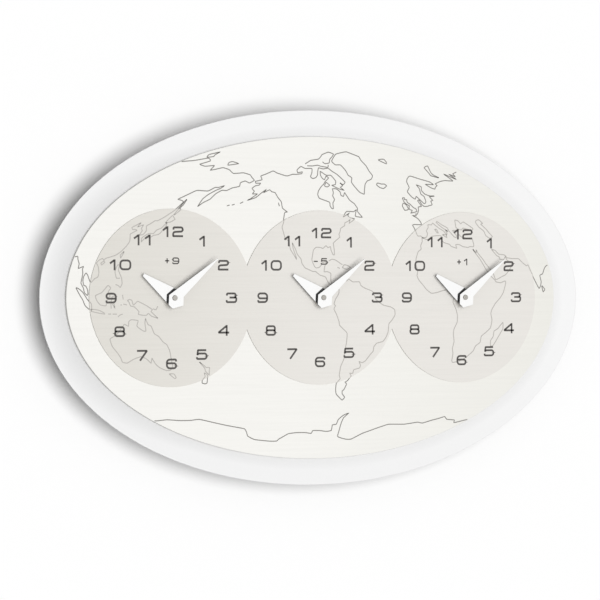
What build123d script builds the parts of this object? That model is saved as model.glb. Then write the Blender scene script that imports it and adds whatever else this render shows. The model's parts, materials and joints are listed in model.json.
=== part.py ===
from build123d import *
import math
import os

# World time clock for a wall: an oval board, a raised oval face plate, and three dials that
# overlap in a row. Each dial has its own quartz movement on the back of the board, with a gear
# train from the stepping motor to the hands. All sizes are in millimetres.
# Shapes are written in the face frame, x to the right, y up and z out from the wall, and are
# stood upright on export: the front then looks along -Y, the top along +Z, and the wall is y = 0.

# Dials and boards
dial_radius = 88.2
dial_overlap = 11.8
film_thick = 1.0
plate_end_margin = 23.6
plate_top_margin = 74.7
plate_thick = 3.0
plate_edge_round = 0.4
side_border = 27.7
top_border = 26.6
panel_thick = 5.0
panel_rim_rise = 3.0
panel_rim_land = 1.2
panel_seat_margin = 0.6
panel_edge_round = 0.5
panel_back_bevel = 6.9

# Hands, with the whole hours and the minute hand's angle at which they stand. Base corners run along
# and across the hand, from its pivot, down its left side first.
hours_shown = 10
minute_angle = 50.4
hand_thick = 0.6
hand_gap = 2.2
minute_length = 61.0
minute_tip_width = 0.8
minute_base = ((-2.8, -6.1), (-9.4, 1.0), (-8.4, 6.7), (2.4, 11.6), (8.0, 5.4))
hour_length = 39.6
hour_tip_width = 2.8
hour_base = ((-3.0, -9.1), (-7.9, -1.9), (-6.5, 6.0), (-1.0, 9.6))
hand_nut_radius = 2.6
hand_nut_height = 1.5
hand_nut_roof = 0.5
hand_nut_round = 0.5

# Clearances
run_play = 0.05
press_play = 0.02
thread_play = 0.03
end_play = 0.3
pivot_end_play = 0.1
bush_clear = 0.25

# Shafts
minute_shaft_radius = 1.6
minute_end_radius = 1.25
minute_tail_radius = 1.0
hour_pipe_wall = 0.85
hour_pipe_proud = 0.4
arbor_radius = 0.5
stud_radius = 0.6
knob_shaft_radius = 0.9
pivot_depth = 0.8
seconds_pivot_depth = 1.5

# Bush and what clamps it to the boards
bush_wall = 1.45
bush_proud = 0.3
bush_to_hand = 0.6
washer_thick = 0.5
washer_radius = 6.0
nut_thick = 2.2
nut_width = 10.0
gasket_thick = 0.5
gasket_radius = 10.0

# Gear teeth, the reductions from motor to hands, and the angles at which the arbors stand
cannon_teeth = 12
reverser_teeth = 36
reverser_pinion_teeth = 10
hour_teeth = 40
knob_teeth = 12
centre_teeth = 60
third_pinion_teeth = 8
third_teeth = 64
seconds_pinion_teeth = 8
seconds_teeth = 60
fifth_pinion_teeth = 10
fifth_teeth = 50
rotor_teeth = 10
reverser_distance = 8.4
third_distance = 8.5
fifth_distance = 8.75
rotor_distance = 6.0
reverser_angle = 20.0
knob_angle = 60.0
third_angle = 120.0
fifth_angle = 200.0
rotor_angle = 150.0

# Tooth forms: height above and below the pitch circle in modules, half widths in pitches
wheel_form = {"above": 0.75, "below": 0.95, "tip": 0.11, "root": 0.235}
pinion_form = {"above": 0.5, "below": 1.15, "tip": 0.125, "root": 0.155}

# Wheels, stacked from the front of the movement to its back
hour_wheel_thick = 1.0
wheel_thick = 0.8
level_gap = 0.8
pinion_over = 0.2
hub_wall = 0.8
rear_room = 1.4

# Stepping motor
magnet_radius = 2.0
magnet_length = 2.0
stator_thick = 0.8
stator_gap = 0.6
stator_half_height = 9.2
stator_arm = 1.8
yoke_reach = 3.5
core_width = 2.0
coil_offset = 8.1
coil_radius = 1.9
coil_flange_radius = 2.2
coil_flange_thick = 0.6
coil_end_gap = 0.4
coil_fit = 0.05

# Movement case, cover and setting knob
case_wall = 1.5
cover_thick = 1.5
divider_thick = 1.2
floor_clear = 0.8
side_clear = 1.0
post_radius = 0.9
pin_radius = 0.5
boss_radius = 2.0
boss_sink = 0.7
peg_radius = 0.9
peg_length = 3.0
knob_radius = 4.5
knob_thick = 2.2
knob_gap = 0.4
knob_flutes = 20
knob_flute_depth = 0.5

# Circuit board and its crystal
board_width = 20.0
board_height = 9.0
board_thick = 0.8
board_left = 0.0
board_clear = 1.0
board_head_room = 1.4
board_post_pitch = 14.0
chip_radius = 2.6
chip_height = 1.0
chip_inset = 3.2
crystal_radius = 1.0
crystal_length = 6.0
crystal_inset = 1.4

# Cell and contacts
cell_length = 50.5
cell_diameter = 14.5
cell_edge_round = 0.6
cell_button_length = 1.0
cell_button_radius = 2.75
cell_side_play = 0.4
cell_front_play = 0.25
contact_thick = 0.5
contact_width = 8.0
contact_length = 10.0
spring_reach = 2.0
spring_thick = 0.4

# Wall hangers, the bumpers below, and the screws of the hangers and of the face plate
wall_clear = 2.4
sheet_thick = 1.5
hanger_web = 40.0
hanger_flange = 14.0
hanger_height = 36.0
hanger_edge_inset = 20.0
keyhole_radius = 4.5
keyhole_slot_width = 4.4
keyhole_slot_rise = 10.0
keyhole_drop = 5.0
screw_radius = 1.5
screw_bite = 3.6
screw_head_radius = 3.0
screw_head_height = 1.8
screw_head_round = 0.8
screw_slot_width = 0.8
screw_slot_depth = 0.7
screw_hole_play = 0.2
screw_pitch = 22.0
pilot_spare = 0.3
plate_screw_bite = 2.2
plate_screw_inset = 32.0
plate_screw_angles = (35, 90, 145, 215, 270, 325)
bumper_radius = 9.0
bumper_edge_inset = 30.0
bumper_chamfer = 1.0

# Board outlines from the dials
dial_spacing = 2 * dial_radius - dial_overlap
plate_half_width = dial_spacing + dial_radius + plate_end_margin
plate_half_height = dial_radius + plate_top_margin
panel_half_width = plate_half_width + side_border
panel_half_height = plate_half_height + top_border
dial_offsets = {"left": -dial_spacing, "centre": 0.0, "right": dial_spacing}

# Shaft radii that follow from the fits between them
hour_bore_radius = minute_shaft_radius + run_play
hour_pipe_radius = hour_bore_radius + hour_pipe_wall
bush_bore_radius = hour_pipe_radius + run_play
bush_radius = bush_bore_radius + bush_wall
board_hole_radius = bush_radius + bush_clear

# Depths inside the movement, counted from the front of its case towards the wall
hour_front = case_wall + end_play
hour_back = hour_front + hour_wheel_thick
motion_front = hour_back + level_gap
motion_back = motion_front + wheel_thick
centre_front = motion_back + level_gap
centre_back = centre_front + wheel_thick
third_front = centre_back + level_gap
third_back = third_front + wheel_thick
seconds_front = third_back + level_gap
seconds_back = seconds_front + wheel_thick
fifth_front = seconds_back + level_gap
fifth_back = fifth_front + wheel_thick
magnet_front = fifth_back + level_gap
magnet_back = magnet_front + magnet_length
cell_depth = case_wall + cell_front_play + cell_diameter / 2
cell_back = cell_depth + cell_diameter / 2 + cell_front_play
case_depth = max(magnet_back + rear_room, cell_back - cover_thick)
movement_depth = case_depth + cover_thick
knob_front = movement_depth + knob_gap
knob_back = knob_front + knob_thick
stator_front = (magnet_front + magnet_back - stator_thick) / 2
stator_back = stator_front + stator_thick
minute_tail_back = centre_back + end_play

# Heights from the wall
wall_gap = gasket_thick + knob_back + wall_clear
case_front_height = wall_gap - gasket_thick
panel_front = wall_gap + panel_thick
panel_rim_front = panel_front + panel_rim_rise
plate_front = panel_front + plate_thick
film_front = plate_front + film_thick
washer_front = film_front + washer_thick
nut_front = washer_front + nut_thick
bush_tip = nut_front + bush_proud
hour_hand_back = bush_tip + bush_to_hand
hour_hand_front = hour_hand_back + hand_thick
hour_pipe_tip = hour_hand_front + hour_pipe_proud
minute_hand_back = hour_hand_front + hand_gap
minute_hand_front = minute_hand_back + hand_thick
hand_nut_front = minute_hand_front + hand_nut_height
minute_shaft_tip = hand_nut_front - hand_nut_roof


def polar(origin, distance, degrees):
    """Point at a distance and angle from another, angles counted from the right, anticlockwise."""
    turn = math.radians(degrees)
    return (origin[0] + distance * math.cos(turn), origin[1] + distance * math.sin(turn))


def module_of(distance, wheel_teeth, pinion_teeth):
    """Module that makes a wheel and pinion meet at a given distance between centres."""
    return 2 * distance / (wheel_teeth + pinion_teeth)


def tip_radius(teeth, module, form):
    """Outer radius of a gear."""
    return module * teeth / 2 + form["above"] * module


def mate_phase(phase, teeth, mate_teeth, degrees):
    """Angle of a tooth of the mate, so that it meshes with a gear that has a tooth at phase."""
    pitches = (degrees - phase) * teeth / 360
    return degrees + 180 + (pitches + 0.5) * 360 / mate_teeth


# Arbor places, with the hands' shaft at the origin
shaft = (0.0, 0.0)
motion_module = module_of(reverser_distance, reverser_teeth, cannon_teeth)
hour_module = module_of(reverser_distance, hour_teeth, reverser_pinion_teeth)
centre_module = module_of(third_distance, centre_teeth, third_pinion_teeth)
third_module = module_of(third_distance, third_teeth, seconds_pinion_teeth)
seconds_module = module_of(fifth_distance, seconds_teeth, fifth_pinion_teeth)
fifth_module = module_of(rotor_distance, fifth_teeth, rotor_teeth)
knob_distance = motion_module * (reverser_teeth + knob_teeth) / 2
reverser_at = polar(shaft, reverser_distance, reverser_angle)
knob_at = polar(reverser_at, knob_distance, knob_angle)
third_at = polar(shaft, third_distance, third_angle)
fifth_at = polar(shaft, fifth_distance, fifth_angle)
rotor_at = polar(fifth_at, rotor_distance, rotor_angle)
coil_x = rotor_at[0] - coil_offset
arbors_through = (third_at, fifth_at, rotor_at)

# Case outline around the train, with the cell in a bay below it
third_tip = tip_radius(third_teeth, third_module, wheel_form)
centre_tip = tip_radius(centre_teeth, centre_module, wheel_form)
seconds_tip = tip_radius(seconds_teeth, seconds_module, wheel_form)
fifth_tip = tip_radius(fifth_teeth, fifth_module, wheel_form)
hour_tip = tip_radius(hour_teeth, hour_module, wheel_form)
knob_pinion_tip = tip_radius(knob_teeth, motion_module, pinion_form)
train_low = max(
    centre_tip, seconds_tip, hour_tip, fifth_tip - fifth_at[1], stator_half_height - rotor_at[1]
)
train_high = max(third_at[1] + third_tip, knob_at[1] + knob_pinion_tip, centre_tip)
floor_y = -train_low - floor_clear
bay_top = floor_y - divider_thick
bay_width = cell_diameter + 2 * cell_side_play
bay_bottom = bay_top - bay_width
cell_y = bay_top - bay_width / 2
board_bottom = train_high + board_clear
board_top = board_bottom + board_height
inner_top = board_top + board_head_room
cell_half_bay = (cell_length + contact_thick + spring_reach) / 2
inner_half_width = max(cell_half_bay, coil_flange_radius - coil_x + side_clear)
case_half_width = inner_half_width + case_wall
case_top = inner_top + case_wall
case_bottom = bay_bottom - case_wall
cover_bottom = floor_y - divider_thick / 2
board_mid_y = board_bottom + board_height / 2
board_mid_x = board_left + board_width / 2
board_posts = [(board_mid_x + side * board_post_pitch / 2, board_mid_y) for side in (-1, 1)]
stator_post_y = stator_half_height - stator_arm / 2
stator_posts = [(coil_x, rotor_at[1] + side * stator_post_y) for side in (-1, 1)]
boss_inset = boss_radius - boss_sink
boss_x = inner_half_width - boss_inset
boss_top = inner_top - boss_inset
peg_places = [(-boss_x, boss_top), (boss_x, boss_top), (boss_x, floor_y + boss_inset)]

# Hanger and bumper places on the back of the panel
hanger_half_width = hanger_web / 2 + hanger_flange


def panel_edge_height(x):
    """Height of the panel's upper edge above its middle, at a distance x to one side."""
    return panel_half_height * math.sqrt(1 - (x / panel_half_width) ** 2)


hanger_y = panel_edge_height(dial_spacing + hanger_half_width) - hanger_edge_inset - hanger_height / 2
bumper_y = bumper_edge_inset + bumper_radius - panel_edge_height(dial_spacing + bumper_radius)
hanger_places = {"left": (-dial_spacing, hanger_y), "right": (dial_spacing, hanger_y)}
screw_x = (hanger_web + hanger_flange) / 2
screw_places = [
    (place[0] + side * screw_x, place[1] + level * screw_pitch / 2)
    for place in hanger_places.values()
    for side in (-1, 1)
    for level in (-1, 1)
]


plate_screw_places = [
    (
        (plate_half_width - plate_screw_inset) * math.cos(math.radians(degrees)),
        (plate_half_height - plate_screw_inset) * math.sin(math.radians(degrees)),
    )
    for degrees in plate_screw_angles
]


def rod(at, radius, low, high):
    """Round bar square to the face, between two heights from the wall."""
    return Pos(at[0], at[1], (low + high) / 2) * Cylinder(radius, high - low)


def block(x_low, x_high, y_low, y_high, low, high):
    """Rectangular block between two heights from the wall."""
    middle = Pos((x_low + x_high) / 2, (y_low + y_high) / 2, (low + high) / 2)
    return middle * Box(x_high - x_low, y_high - y_low, high - low)


def prism(points, low, high):
    """Flat outline of corner points, raised between two heights from the wall."""
    return Pos(0, 0, low) * extrude(make_face(Polyline(*points, close=True)), high - low)


def inward(depth):
    """Height from the wall of a depth inside the movement."""
    return case_front_height - depth


def deep_rod(at, radius, front, back):
    """Round bar between two depths inside the movement."""
    return rod(at, radius, inward(back), inward(front))


def deep_block(x_low, x_high, y_low, y_high, front, back):
    """Rectangular block between two depths inside the movement."""
    return block(x_low, x_high, y_low, y_high, inward(back), inward(front))


def gear(at, teeth, module, form, phase, front, back):
    """Toothed disc at two depths inside the movement, with one tooth at the angle phase."""
    pitch = math.pi * module
    root_r = module * teeth / 2 - form["below"] * module
    tip_r = tip_radius(teeth, module, form)
    corners = (
        (root_r, -form["root"]),
        (tip_r, -form["tip"]),
        (tip_r, form["tip"]),
        (root_r, form["root"]),
    )
    points = [
        polar(at, radius, phase + 360 * tooth / teeth + math.degrees(share * pitch / radius))
        for tooth in range(teeth)
        for radius, share in corners
    ]
    return prism(points, inward(back), inward(front))


# Tooth angles, so that every pair is in mesh as drawn
reverser_phase = reverser_angle + 180
cannon_phase = mate_phase(reverser_phase, reverser_teeth, cannon_teeth, reverser_angle + 180)
knob_phase = mate_phase(reverser_phase, reverser_teeth, knob_teeth, knob_angle)
hour_phase = reverser_angle
reverser_pinion_phase = mate_phase(hour_phase, hour_teeth, reverser_pinion_teeth, reverser_angle)
centre_phase = third_angle
third_pinion_phase = mate_phase(centre_phase, centre_teeth, third_pinion_teeth, third_angle)
third_phase = third_angle + 180
seconds_pinion_phase = mate_phase(third_phase, third_teeth, seconds_pinion_teeth, third_angle + 180)
seconds_phase = fifth_angle
fifth_pinion_phase = mate_phase(seconds_phase, seconds_teeth, fifth_pinion_teeth, fifth_angle)
fifth_phase = rotor_angle
rotor_phase = mate_phase(fifth_phase, fifth_teeth, rotor_teeth, rotor_angle)


def oval(half_width, half_height, low, high):
    """Oval board between two heights from the wall."""
    return Pos(0, 0, low) * extrude(Ellipse(half_width, half_height), high - low)


def rim(shape, level):
    """Outer edge of a shape's back (level 0) or front (level -1)."""
    return max(shape.edges().group_by(Axis.Z)[level], key=lambda edge: edge.length)


def bush_holes(low, high):
    """The three holes through which the movement bushes pass."""
    return [rod((x, 0), board_hole_radius, low, high) for x in dial_offsets.values()]


def make_back_panel():
    """Lacquered oval board, dished down to a flat seat for the plate, with a bevelled back and screw holes."""
    board = oval(panel_half_width, panel_half_height, wall_gap, panel_rim_front)
    board = chamfer(rim(board, 0), panel_back_bevel)
    board = fillet(rim(board, -1), panel_edge_round)
    seat = Ellipse(plate_half_width + panel_seat_margin, plate_half_height + panel_seat_margin)
    brim = Ellipse(panel_half_width - panel_rim_land, panel_half_height - panel_rim_land)
    board -= loft([Pos(0, 0, panel_front) * seat, Pos(0, 0, panel_rim_front) * brim])
    pilot_top = wall_gap + screw_bite + pilot_spare
    pilots = [rod(at, screw_radius + thread_play, wall_gap, pilot_top) for at in screw_places]
    passes = [rod(at, screw_radius + screw_hole_play, wall_gap, panel_front) for at in plate_screw_places]
    return board - bush_holes(wall_gap, panel_front) - pilots - passes


def make_face_plate():
    """Raised oval plate that carries the map and the dials."""
    plate = oval(plate_half_width, plate_half_height, panel_front, plate_front)
    plate = fillet(rim(plate, -1), plate_edge_round)
    pilot_top = panel_front + plate_screw_bite + pilot_spare
    pilots = [rod(at, screw_radius + thread_play, panel_front, pilot_top) for at in plate_screw_places]
    return plate - bush_holes(panel_front, plate_front) - pilots


def make_dial_film():
    """Three-lobed sheet on the plate: the dials, joined where they overlap."""
    lobes = [rod((x, 0), dial_radius, plate_front, film_front) for x in dial_offsets.values()]
    return lobes[0] + lobes[1:] - bush_holes(plate_front, film_front)


def hand(tip, base, degrees, hole_radius, back, front):
    """Flat faceted hand that points at an angle clockwise from twelve."""
    turn = math.radians(degrees)
    ahead = (math.sin(turn), math.cos(turn))
    across = (math.cos(turn), -math.sin(turn))
    points = [
        (along * ahead[0] + side * across[0], along * ahead[1] + side * across[1])
        for along, side in (*tip, *base)
    ]
    return prism(points, back, front) - rod(shaft, hole_radius, back, front)


def blunt_tip(length, width, shift):
    """Two corners of a hand's cut-off tip, right side first, moved sideways by shift."""
    return ((length, shift + width / 2), (length, shift - width / 2))


def make_hour_hand():
    """Broad short hand, pressed on the hour pipe."""
    degrees = 30 * hours_shown + minute_angle / 12
    tip = blunt_tip(hour_length, hour_tip_width, hour_tip_width / 4)
    hole = hour_pipe_radius + press_play
    return hand(tip, hour_base, degrees, hole, hour_hand_back, hour_hand_front)


def make_minute_hand():
    """Long pointed hand, clamped on the minute shaft by the hand nut."""
    tip = blunt_tip(minute_length, minute_tip_width, 0)
    hole = minute_end_radius + press_play
    return hand(tip, minute_base, minute_angle, hole, minute_hand_back, minute_hand_front)


def make_hand_nut():
    """Small closed nut over the end of the minute shaft."""
    cap = rod(shaft, hand_nut_radius, minute_hand_front, hand_nut_front)
    cap = fillet(rim(cap, -1), hand_nut_round)
    return cap - rod(shaft, minute_end_radius + thread_play, minute_hand_front, minute_shaft_tip)


def make_hour_wheel():
    """Hour wheel with the pipe that runs in the bush and carries the hour hand."""
    wheel = gear(shaft, hour_teeth, hour_module, wheel_form, hour_phase, hour_front, hour_back)
    pipe = rod(shaft, hour_pipe_radius, inward(hour_back), hour_pipe_tip)
    return wheel + pipe - rod(shaft, hour_bore_radius, inward(hour_back), hour_pipe_tip)


def make_minute_arbor():
    """Minute shaft with its cannon pinion, a tail for the centre wheel and a rear pivot hole."""
    front = motion_front - pinion_over
    back = motion_back + pinion_over
    pinion = gear(shaft, cannon_teeth, motion_module, pinion_form, cannon_phase, front, back)
    stem = rod(shaft, minute_shaft_radius, inward(front), minute_hand_back)
    end = rod(shaft, minute_end_radius, minute_hand_back, minute_shaft_tip - pivot_end_play)
    tail = deep_rod(shaft, minute_tail_radius, back, minute_tail_back)
    hole_front = minute_tail_back - seconds_pivot_depth
    hole = deep_rod(shaft, arbor_radius + run_play, hole_front, minute_tail_back)
    return pinion + [stem, end, tail] - hole


def make_reverser_wheel():
    """Wheel and pinion between the minute shaft and the hour wheel, turning on a fixed stud."""
    wheel = gear(
        reverser_at, reverser_teeth, motion_module, wheel_form, reverser_phase, motion_front, motion_back
    )
    front = hour_front - pinion_over / 2
    pinion = gear(
        reverser_at, reverser_pinion_teeth, hour_module, pinion_form, reverser_pinion_phase,
        front, motion_front,
    )
    return wheel + pinion - deep_rod(reverser_at, stud_radius + run_play, front, motion_back)


def make_setting_knob():
    """Knob on the back of the movement, whose pinion turns the reverser wheel to set the hands."""
    front = motion_front - pinion_over
    back = motion_back + pinion_over
    pinion = gear(knob_at, knob_teeth, motion_module, pinion_form, knob_phase, front, back)
    pivot = deep_rod(knob_at, arbor_radius, case_wall - pivot_depth + pivot_end_play, front)
    stem = deep_rod(knob_at, knob_shaft_radius, back, knob_front)
    disc = deep_rod(knob_at, knob_radius, knob_front, knob_back)
    flute_places = [polar(knob_at, knob_radius, 360 * flute / knob_flutes) for flute in range(knob_flutes)]
    flutes = [deep_rod(at, knob_flute_depth, knob_front, knob_back) for at in flute_places]
    return pinion + [pivot, stem, disc - flutes]


def through_arbor(at, front):
    """Thin arbor from a depth to its pivot hole in the cover."""
    return deep_rod(at, arbor_radius, front, case_depth + pivot_depth - pivot_end_play)


case_pivot_front = case_wall - pivot_depth + pivot_end_play


def make_centre_wheel():
    """Centre wheel that grips the minute shaft's tail by friction."""
    wheel = gear(shaft, centre_teeth, centre_module, wheel_form, centre_phase, centre_front, centre_back)
    hub = deep_rod(shaft, minute_tail_radius + run_play + hub_wall, centre_front - end_play, centre_back)
    bore = deep_rod(shaft, minute_tail_radius + run_play, centre_front - end_play, centre_back)
    return wheel + hub - bore


def wheel_on_arbor(at, wheel, pinion, arbor_front):
    """Wheel, pinion and through arbor as one piece; wheel and pinion give teeth to depth."""
    discs = [gear(at, *wheel), gear(at, *pinion)]
    return through_arbor(at, arbor_front) + discs


def make_third_wheel():
    """Third wheel, whose pinion drives the centre wheel."""
    wheel = (third_teeth, third_module, wheel_form, third_phase, third_front, third_back)
    pinion = (
        third_pinion_teeth, centre_module, pinion_form, third_pinion_phase,
        centre_front - pinion_over, centre_back + pinion_over,
    )
    return wheel_on_arbor(third_at, wheel, pinion, case_pivot_front)


def make_seconds_wheel():
    """Seconds wheel in line with the hands, pivoted in the end of the minute shaft."""
    wheel = (seconds_teeth, seconds_module, wheel_form, seconds_phase, seconds_front, seconds_back)
    pinion = (
        seconds_pinion_teeth, third_module, pinion_form, seconds_pinion_phase,
        third_front - pinion_over, third_back + pinion_over,
    )
    front = minute_tail_back - seconds_pivot_depth + pivot_end_play
    return wheel_on_arbor(shaft, wheel, pinion, front)


def make_fifth_wheel():
    """Fifth wheel, driven by the rotor."""
    wheel = (fifth_teeth, fifth_module, wheel_form, fifth_phase, fifth_front, fifth_back)
    pinion = (
        fifth_pinion_teeth, seconds_module, pinion_form, fifth_pinion_phase,
        seconds_front - pinion_over, seconds_back + pinion_over,
    )
    return wheel_on_arbor(fifth_at, wheel, pinion, case_pivot_front)


def make_rotor():
    """Magnet rotor of the stepping motor, with its pinion."""
    pinion = gear(
        rotor_at, rotor_teeth, fifth_module, pinion_form, rotor_phase,
        fifth_front - pinion_over, fifth_back + pinion_over,
    )
    magnet = deep_rod(rotor_at, magnet_radius, magnet_front, magnet_back)
    return through_arbor(rotor_at, case_pivot_front) + [pinion, magnet]


def make_stator():
    """Iron loop of the motor: a yoke round the rotor, two arms, and a core inside the coil."""
    low = rotor_at[1] - stator_half_height
    high = rotor_at[1] + stator_half_height
    core_left = coil_x - core_width / 2
    yoke_left = rotor_at[0] - yoke_reach
    yoke_right = rotor_at[0] + yoke_reach
    loop = deep_block(core_left, yoke_right, low, high, stator_front, stator_back)
    window = deep_block(
        coil_x + core_width / 2, yoke_left, low + stator_arm, high - stator_arm, stator_front, stator_back
    )
    rotor_hole = deep_rod(rotor_at, magnet_radius + stator_gap, stator_front, stator_back)
    pin_holes = [deep_rod(at, pin_radius + run_play, stator_front, stator_back) for at in stator_posts]
    return loop - [window, rotor_hole] - pin_holes


def make_coil():
    """Motor coil on its bobbin, round the stator's core."""
    half = stator_half_height - stator_arm - coil_end_gap
    depth = (stator_front + stator_back) / 2
    middle = Pos(coil_x, rotor_at[1], inward(depth)) * Rot(90, 0, 0)
    winding = middle * Cylinder(coil_radius, 2 * half)
    flange = Cylinder(coil_flange_radius, coil_flange_thick)
    flange_shift = half - coil_flange_thick / 2
    flanges = [middle * Pos(0, 0, side * flange_shift) * flange for side in (-1, 1)]
    core_hole = Box(core_width + 2 * coil_fit, 2 * half, stator_thick + 2 * coil_fit)
    return winding + flanges - Pos(coil_x, rotor_at[1], inward(depth)) * core_hole


def make_movement_case():
    """Case tray with the threaded bush, cell bay, posts, bosses, fixed stud and pivot holes."""
    tray = deep_block(-case_half_width, case_half_width, cover_bottom, case_top, 0, case_depth)
    bay = deep_block(-case_half_width, case_half_width, case_bottom, cover_bottom, 0, movement_depth)
    train_room = deep_block(-inner_half_width, inner_half_width, floor_y, inner_top, case_wall, case_depth)
    cell_room = deep_block(-cell_half_bay, cell_half_bay, bay_bottom, bay_top, case_wall, movement_depth)
    bush = rod(shaft, bush_radius, inward(case_wall), bush_tip)
    posts = [deep_rod(at, post_radius, case_wall, stator_front) for at in stator_posts + board_posts]
    pins = [deep_rod(at, pin_radius, stator_front, stator_back) for at in stator_posts + board_posts]
    bosses = [deep_rod(at, boss_radius, case_wall, case_depth) for at in peg_places]
    stud = deep_rod(reverser_at, stud_radius, case_wall, motion_back + end_play)
    pivots = [
        deep_rod(at, arbor_radius + run_play, case_wall - pivot_depth, case_wall)
        for at in (*arbors_through, knob_at)
    ]
    peg_bottom = case_depth - peg_length - end_play
    peg_holes = [deep_rod(at, peg_radius + run_play, peg_bottom, case_depth) for at in peg_places]
    case = tray + bay - [train_room, cell_room] + [bush, stud, *posts, *pins, *bosses]
    return case - rod(shaft, bush_bore_radius, inward(case_wall), bush_tip) - pivots - peg_holes


def make_movement_cover():
    """Back cover over the train, with pegs, pivot holes and a hole for the setting knob's shaft."""
    plate = deep_block(-case_half_width, case_half_width, cover_bottom, case_top, case_depth, movement_depth)
    pegs = [deep_rod(at, peg_radius, case_depth - peg_length, case_depth) for at in peg_places]
    pivots = [
        deep_rod(at, arbor_radius + run_play, case_depth, case_depth + pivot_depth)
        for at in (*arbors_through, shaft)
    ]
    knob_hole = deep_rod(knob_at, knob_shaft_radius + run_play, case_depth, movement_depth)
    return plate + pegs - pivots - knob_hole


def make_cell():
    """Round cell with its button at the right."""
    body_length = cell_length - cell_button_length
    left = spring_reach - cell_half_bay
    depth = inward(cell_depth)
    along = Pos(left + body_length / 2, cell_y, depth) * Rot(0, 90, 0)
    can = Cylinder(cell_diameter / 2, body_length)
    can = along * fillet(can.edges().filter_by(GeomType.CIRCLE), cell_edge_round)
    button_at = Pos(left + cell_length - cell_button_length / 2, cell_y, depth) * Rot(0, 90, 0)
    return can + button_at * Cylinder(cell_button_radius, cell_button_length)


def make_contacts():
    """Flat contact at the button and bent leaf at the other end, as two solids."""
    low = cell_y - contact_width / 2
    high = cell_y + contact_width / 2
    front = cell_depth - contact_length / 2
    back = cell_depth + contact_length / 2
    plate = deep_block(cell_half_bay - contact_thick, cell_half_bay, low, high, front, back)
    wall = -cell_half_bay
    bow = wall + spring_reach - press_play
    leaf = (
        (wall, front),
        (bow, cell_depth),
        (wall, back),
        (wall, back - spring_thick * contact_length / spring_reach / 2),
        (bow - spring_thick, cell_depth),
        (wall, front + spring_thick * contact_length / spring_reach / 2),
    )
    outline = Polyline(*[(x, low, inward(depth)) for x, depth in leaf], close=True)
    return [plate, extrude(make_face(outline), contact_width, dir=(0, 1, 0))]


def make_circuit_board():
    """Small board with the chip under a resin drop, on two posts."""
    back = stator_front + board_thick
    right = board_left + board_width
    slab = deep_block(board_left, right, board_bottom, board_top, stator_front, back)
    chip_at = (board_mid_x, board_bottom + chip_inset)
    chip = deep_rod(chip_at, chip_radius, stator_front - chip_height, stator_front)
    holes = [deep_rod(at, pin_radius + run_play, stator_front, back) for at in board_posts]
    return slab + chip - holes


def make_crystal():
    """Tuning crystal can, lying on the front of the board."""
    height = inward(stator_front - crystal_radius)
    at = Pos(board_mid_x, board_top - crystal_inset, height)
    return at * Rot(0, 90, 0) * Cylinder(crystal_radius, crystal_length)


def make_bush_nut():
    """Six-sided nut on the front end of the bush."""
    hexagon = RegularPolygon(nut_width / 2, 6, major_radius=False)
    nut = Pos(0, 0, washer_front) * extrude(hexagon, nut_thick)
    return nut - rod(shaft, bush_radius + thread_play, washer_front, nut_front)


def ring(inner, outer, low, high):
    """Flat ring round the shaft."""
    return rod(shaft, outer, low, high) - rod(shaft, inner, low, high)


def make_hanger():
    """Folded sheet hanger: a web on the wall with a keyhole, two legs and two screwed flanges."""
    half = hanger_web / 2
    tall = hanger_height / 2
    folded = block(-half, half, -tall, tall, 0, sheet_thick)
    for side in (-1, 1):
        leg = block(half - sheet_thick, half, -tall, tall, 0, wall_gap)
        flange = block(half - sheet_thick, hanger_half_width, -tall, tall, wall_gap - sheet_thick, wall_gap)
        folded += [Rot(0, 0, 90 - 90 * side) * piece for piece in (leg, flange)]
    slot_half = keyhole_slot_width / 2
    slot_top = keyhole_slot_rise - keyhole_drop
    keyhole = [
        rod((0, -keyhole_drop), keyhole_radius, 0, sheet_thick),
        block(-slot_half, slot_half, -keyhole_drop, slot_top, 0, sheet_thick),
        rod((0, slot_top), slot_half, 0, sheet_thick),
    ]
    hole_radius = screw_radius + screw_hole_play
    holes = [
        rod((x, y), hole_radius, wall_gap - sheet_thick, wall_gap)
        for x in (-screw_x, screw_x)
        for y in (-screw_pitch / 2, screw_pitch / 2)
    ]
    return folded - keyhole - holes


def make_screw(seat, tip):
    """Pan-head screw, driven from the wall side, with its head's underside at one height."""
    outer = seat - screw_head_height
    head = rod(shaft, screw_head_radius, outer, seat)
    head = fillet(rim(head, 0), screw_head_round)
    reach = screw_head_radius - screw_head_round
    slot_half = screw_slot_width / 2
    cross = [
        block(-reach, reach, -slot_half, slot_half, outer, outer + screw_slot_depth),
        block(-slot_half, slot_half, -reach, reach, outer, outer + screw_slot_depth),
    ]
    return head + rod(shaft, screw_radius, seat, tip) - cross


def make_wall_bumper():
    """Rubber post that keeps the lower edge as far from the wall as the hangers do."""
    post = rod(shaft, bumper_radius, 0, wall_gap)
    wall_edge = [edge for edge in post.edges() if edge.center().Z < bumper_chamfer / 2]
    return chamfer(max(wall_edge, key=lambda edge: edge.length), bumper_chamfer)


def at_dial(shape, x):
    """Copy of a piece moved from the middle dial to another."""
    return Pos(x, 0, 0) * shape


def save(name, *solids):
    """Stand solids upright and write them as one node."""
    upright = [Plane.XZ.location * solid for solid in solids]
    export_step(upright[0] if len(upright) == 1 else Compound(children=upright), f"parts/{name}.step")


os.makedirs("parts", exist_ok=True)

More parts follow.
